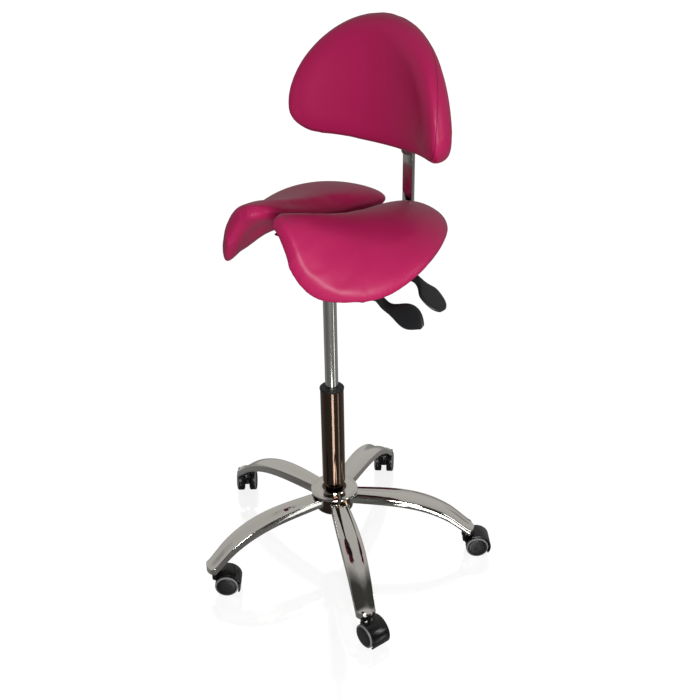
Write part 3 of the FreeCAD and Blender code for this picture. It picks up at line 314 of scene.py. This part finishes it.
def soften(node, body, width, material):
    """A copy of a CAD node with its sharp edges rolled to the given width in metres."""
    skin = bmesh.new()
    skin.from_mesh(nodes[node].data)
    bmesh.ops.remove_doubles(skin, verts=skin.verts, dist=2e-5)
    bmesh.ops.dissolve_limit(skin, angle_limit=FLAT_ENOUGH, verts=skin.verts, edges=skin.edges)
    mesh = bpy.data.meshes.new(node + "_soft")
    skin.to_mesh(mesh)
    skin.free()
    piece = bpy.data.objects.new(node + "_soft", mesh)
    bpy.context.scene.collection.objects.link(piece)
    mesh.materials.append(material)
    roll = piece.modifiers.new("roll", "BEVEL")
    roll.width = width
    roll.segments = 3
    roll.limit_method = "ANGLE"
    roll.angle_limit = SHARP_EDGE
    roll.harden_normals = True
    mesh.polygons.foreach_set("use_smooth", [True] * len(mesh.polygons))
    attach(piece, body)
    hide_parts(node)
    return piece


for name in arms:
    soften(name, "base", 0.0016, bright_chrome)
for name in hoods:
    soften(name, name.replace("hood_", ""), 0.0016, hood_nylon)
soften("height_paddle", "height_handle", 0.0012, black_nylon)
soften("tilt_paddle", "tilt_handle", 0.0012, black_nylon)
soften("backrest_bar", "bar", 0.0012, bright_chrome)

# %% [markdown]
# ## Stuffed cushions
# A cushion is foam under a tight cover. The solid is copied, remeshed finely and blown up a little
# as cloth, so that the cover draws itself tight. How far a point may move is capped, and the small
# wrinkles are calmed after it.

# %% Cushions
VOXEL = 0.005
COVER_FRAMES = 20
COVER_PRESSURE = 4.0


def plain_copy(node, name, shrink):
    """A copy of a CAD solid as one closed skin, drawn in by a little."""
    skin = bmesh.new()
    skin.from_mesh(nodes[node].data)
    bmesh.ops.remove_doubles(skin, verts=skin.verts, dist=1e-5)
    bmesh.ops.recalc_face_normals(skin, faces=skin.faces)
    skin.normal_update()
    for vertex in skin.verts:
        vertex.co -= vertex.normal * shrink
    mesh = bpy.data.meshes.new(name)
    skin.to_mesh(mesh)
    skin.free()
    cushion = bpy.data.objects.new(name, mesh)
    bpy.context.scene.collection.objects.link(cushion)
    return cushion


def settle(piece):
    """Apply a piece's modifiers."""
    graph = bpy.context.evaluated_depsgraph_get()
    done = bpy.data.meshes.new_from_object(piece.evaluated_get(graph))
    piece.modifiers.clear()
    piece.data = done


def inflate(cushion, cap):
    """Blow the skin up as cloth, and cap how far a point moves."""
    before = [vertex.co.copy() for vertex in cushion.data.vertices]
    cloth = cushion.modifiers.new("cover", "CLOTH")
    cloth.settings.use_pressure = True
    cloth.settings.uniform_pressure_force = COVER_PRESSURE
    cloth.settings.effector_weights.gravity = 0.0
    for number in range(1, COVER_FRAMES + 1):
        bpy.context.scene.frame_set(number)
    settle(cushion)
    for vertex, start in zip(cushion.data.vertices, before):
        move = vertex.co - start
        if move.length > cap:
            vertex.co = start + move * (cap / move.length)


def make_cushion(node, name, shrink, cap, calming):
    """A cushion in the place of a CAD pad; lengths in metres, calming in smoothing passes."""
    cushion = plain_copy(node, name, shrink)
    remesh = cushion.modifiers.new("skin", "REMESH")
    remesh.mode = "VOXEL"
    remesh.voxel_size = VOXEL
    settle(cushion)
    even = cushion.modifiers.new("even", "SMOOTH")
    even.factor = 0.5
    even.iterations = 6
    settle(cushion)
    inflate(cushion, cap)
    calm = cushion.modifiers.new("calm", "SMOOTH")
    calm.factor = 0.5
    calm.iterations = calming
    settle(cushion)
    finer = cushion.modifiers.new("finer", "SUBSURF")
    finer.levels = 1
    finer.render_levels = 1
    settle(cushion)
    cushion.data.polygons.foreach_set("use_smooth", [True] * len(cushion.data.polygons))
    cushion.data.materials.clear()
    cushion.data.materials.append(leatherette)
    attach(cushion, "back" if node == "back_pad" else "seat")
    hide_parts(node)
    print(name, len(cushion.data.polygons), "faces")
    return cushion


left_cushion = make_cushion("seat_pad_left", "left_seat_cushion", 0.002, 0.006, 10)
right_cushion = make_cushion("seat_pad_right", "right_seat_cushion", 0.002, 0.006, 10)
back_cushion = make_cushion("back_pad", "back_cushion", 0.001, 0.004, 40)

# %% [markdown]
# ## The front of the saddle
# The foam of a saddle is fullest at the front, where the thighs press on it. Each seat cushion's
# nose is eased forward, and its underside there is let down, so that the front ends in a deep soft
# band. The region is then smoothed, so that the band rolls into the top.

# %% Fuller fronts
FORWARD = 0.009
DEEPEN = 0.016


def ease(value):
    """Smooth step from 0 to 1."""
    held = min(max(value, 0.0), 1.0)
    return held * held * (3 - 2 * held)


def fill_front(cushion, side):
    """Fill the front of the seat half on one side, 1 for the sitter's left."""
    down = Vector((-0.5 * side, -0.3, -0.8)).normalized()
    mesh = cushion.data
    front = cushion.vertex_groups.new(name="front")
    normals = [vertex.normal.copy() for vertex in mesh.vertices]
    for vertex, normal in zip(mesh.vertices, normals):
        forward = ease((-0.06 - vertex.co.y) / 0.09)
        nose = ease((-0.1 - vertex.co.y) / 0.05)
        under = ease((0.45 + normal.dot(down)) / 0.9) * ease((abs(vertex.co.x) + 0.03) / 0.09)
        vertex.co.y -= FORWARD * forward
        vertex.co += down * (DEEPEN * nose * under)
        front.add([vertex.index], forward, "REPLACE")
    mesh.update()
    rounder = cushion.modifiers.new("rounder", "SMOOTH")
    rounder.factor = 0.5
    rounder.iterations = 30
    rounder.vertex_group = "front"
    settle(cushion)


fill_front(left_cushion, 1)
fill_front(right_cushion, -1)

# %% [markdown]
# ## The seam of the backrest
# The backrest's cover is sewn from a front panel, a back panel and a band round the edge. The seam
# is a fine sunk line, narrower than the mesh is fine, so it is drawn in the material: a line at one
# distance from the upright axis that the cushion is curved about. The line is sunk by a bump and
# darkened with painted shade, the shade its groove would hold.

# %% Seam
BACK_CURVE = 0.282
BACK_CENTRE = Vector((0, 0.1735, 0.967))
BACK_LEAN = math.radians(5.3)
SEAM_RADIUS = BACK_CURVE - 0.0085
SEAM_HALF = 0.0011


def make_seamed_leatherette():
    """The leatherette with a sunk seam on the backrest's edge, its line darkened with painted shade.
    """
    material = leatherette.copy()
    material.name = "seamed_leatherette"
    tree = material.node_tree
    shader = tree.nodes["Principled BSDF"]
    place = add(tree, "ShaderNodeTexCoord").outputs["Object"]
    upright = Matrix.Rotation(BACK_LEAN, 3, "X")
    shift = upright @ -BACK_CENTRE + Vector((0, BACK_CURVE, 0))
    local = add(tree, "ShaderNodeMapping", [("Vector", place)])
    local.inputs["Rotation"].default_value = (BACK_LEAN, 0, 0)
    local.inputs["Location"].default_value = shift
    flat = add(tree, "ShaderNodeVectorMath", [(0, local.outputs["Vector"])], operation="MULTIPLY")
    flat.inputs[1].default_value = (1, 1, 0)
    radius = add(tree, "ShaderNodeVectorMath", [(0, flat.outputs["Vector"])], operation="LENGTH")
    off = add(tree, "ShaderNodeMath", [(0, radius.outputs["Value"])], operation="SUBTRACT")
    off.inputs[1].default_value = SEAM_RADIUS
    off = add(tree, "ShaderNodeMath", [(0, off.outputs[0])], operation="ABSOLUTE")
    depth = add(tree, "ShaderNodeMapRange", [("Value", off.outputs[0])],
                interpolation_type="SMOOTHSTEP", From_Max=SEAM_HALF, To_Min=1.0, To_Max=0.0)
    tint = shader.inputs["Base Color"].links[0].from_socket
    # The seam's line is darkened towards #6A1236: painted shade in its sunk groove.
    shade = add(tree, "ShaderNodeMix", [("Factor", depth.outputs["Result"])], data_type="RGBA")
    tree.links.new(tint, shade.inputs[6])
    shade.inputs[7].default_value = linear("#6A1236")
    tree.links.new(shade.outputs[2], shader.inputs["Base Color"])
    grain = shader.inputs["Normal"].links[0].from_socket
    sunk = add(tree, "ShaderNodeBump", [("Height", depth.outputs["Result"]), ("Normal", grain)],
               Strength=0.6, Distance=0.001, invert=True)
    tree.links.new(sunk.outputs["Normal"], shader.inputs["Normal"])
    return material


back_cushion.data.materials[0] = make_seamed_leatherette()
print("seam", round(SEAM_RADIUS * 1000, 1), "mm from the axis")

# %% [markdown]
# ## Floor and light
# The stool stands on a plain white floor that gives a faint mirror image. One large soft lamp stands
# beside the camera, so what faces the viewer is brightest, and a weaker one fills from the right.
# Chrome only looks like chrome when it has something to show: the room is pale behind the stool and
# overhead, and dark behind the camera.

# %% Floor
floor_mesh = bpy.data.meshes.new("floor")
sheet = bmesh.new()
bmesh.ops.create_grid(sheet, x_segments=1, y_segments=1, size=14.0)
sheet.to_mesh(floor_mesh)
sheet.free()
floor = bpy.data.objects.new("floor", floor_mesh)
bpy.context.scene.collection.objects.link(floor)
FLOOR_GLOW = 0.84
FLOOR_GLOW_IN_METAL = 0.02


def make_floor():
    material, tree, shader = new_material("white_floor", "#7C7C7C", Roughness=0.08, IOR=2.2)
    shader.inputs["Specular IOR Level"].default_value = 0.8
    path = add(tree, "ShaderNodeLightPath")
    mirrored = add(tree, "ShaderNodeMath",
                   [(0, path.outputs["Is Glossy Ray"]), (1, path.outputs["Is Transmission Ray"])],
                   operation="ADD")
    mirrored = add(tree, "ShaderNodeMath", [(0, mirrored.outputs[0])], operation="MULTIPLY")
    mirrored.inputs[1].default_value = FLOOR_GLOW_IN_METAL
    level = add(tree, "ShaderNodeMath", [(0, path.outputs["Is Camera Ray"]),
                                         (2, mirrored.outputs[0])], operation="MULTIPLY_ADD")
    level.inputs[1].default_value = FLOOR_GLOW
    glow = add(tree, "ShaderNodeEmission", [("Strength", level.outputs[0])], Color=(1, 1, 1, 1))
    both = add(tree, "ShaderNodeAddShader", [(0, shader.outputs[0]), (1, glow.outputs[0])])
    tree.links.new(both.outputs[0], tree.nodes["Material Output"].inputs["Surface"])
    return material


floor.data.materials.append(make_floor())

# %% World
BACKDROP_WAY = (-math.sin(CAMERA_AZIMUTH), math.cos(CAMERA_AZIMUTH), 0.25)


def add_ramp(tree, source, *stops):
    """A colour ramp with (position, grey) stops."""
    ramp = add(tree, "ShaderNodeValToRGB", [("Fac", source)])
    elements = ramp.color_ramp.elements
    while len(elements) < len(stops):
        elements.new(0.5)
    for element, (position, grey) in zip(elements, stops):
        element.position = position
        element.color = (grey, grey * 0.97, grey * 0.95, 1)
    return ramp.outputs["Color"]


def make_world():
    world = bpy.data.worlds.new("studio")
    bpy.context.scene.world = world
    world.use_nodes = True
    tree = world.node_tree
    tree.nodes.clear()
    way = add(tree, "ShaderNodeTexCoord").outputs["Generated"]
    depth = add(tree, "ShaderNodeVectorMath", [(0, way)], operation="DOT_PRODUCT")
    depth.inputs[1].default_value = Vector(BACKDROP_WAY).normalized()
    depth = add(tree, "ShaderNodeMapRange", [("Value", depth.outputs["Value"])], From_Min=-1.0,
                From_Max=1.0)
    room = add_ramp(tree, depth.outputs["Result"], (0.0, 0.02), (0.42, 0.05), (0.52, 0.2),
                    (0.62, 0.46), (1.0, 0.52))
    path = add(tree, "ShaderNodeLightPath")
    in_room = add(tree, "ShaderNodeBackground", [("Color", room)], Strength=1.0)
    white = add(tree, "ShaderNodeBackground", Color=(1, 1, 1, 1), Strength=1.0)
    plain = add(tree, "ShaderNodeBackground", Color=(1, 1, 1, 1), Strength=0.26)
    metal = add(tree, "ShaderNodeMixShader", [("Fac", path.outputs["Is Glossy Ray"]),
                                              (1, plain.outputs[0]), (2, in_room.outputs[0])])
    view = add(tree, "ShaderNodeMixShader", [("Fac", path.outputs["Is Camera Ray"]),
                                             (1, metal.outputs[0]), (2, white.outputs[0])])
    add(tree, "ShaderNodeOutputWorld", [("Surface", view.outputs[0])])


make_world()

# %% Lamps


def add_lamp(name, place, target, width, height, power):
    light = bpy.data.lights.new(name, "AREA")
    light.shape = "RECTANGLE"
    light.size, light.size_y, light.energy = width, height, power
    lamp = bpy.data.objects.new(name, light)
    turn = (Vector(target) - Vector(place)).to_track_quat("-Z", "Y").to_matrix().to_4x4()
    lamp.matrix_world = Matrix.Translation(place) @ turn
    bpy.context.scene.collection.objects.link(lamp)
    return lamp


add_lamp("key_softbox", (1.55, -1.3, 1.1), (0, 0, 0.72), 0.7, 0.7, 36)
add_lamp("side_softbox", (2.4, 0.7, 1.2), (0, 0, 0.75), 0.5, 1.2, 10)
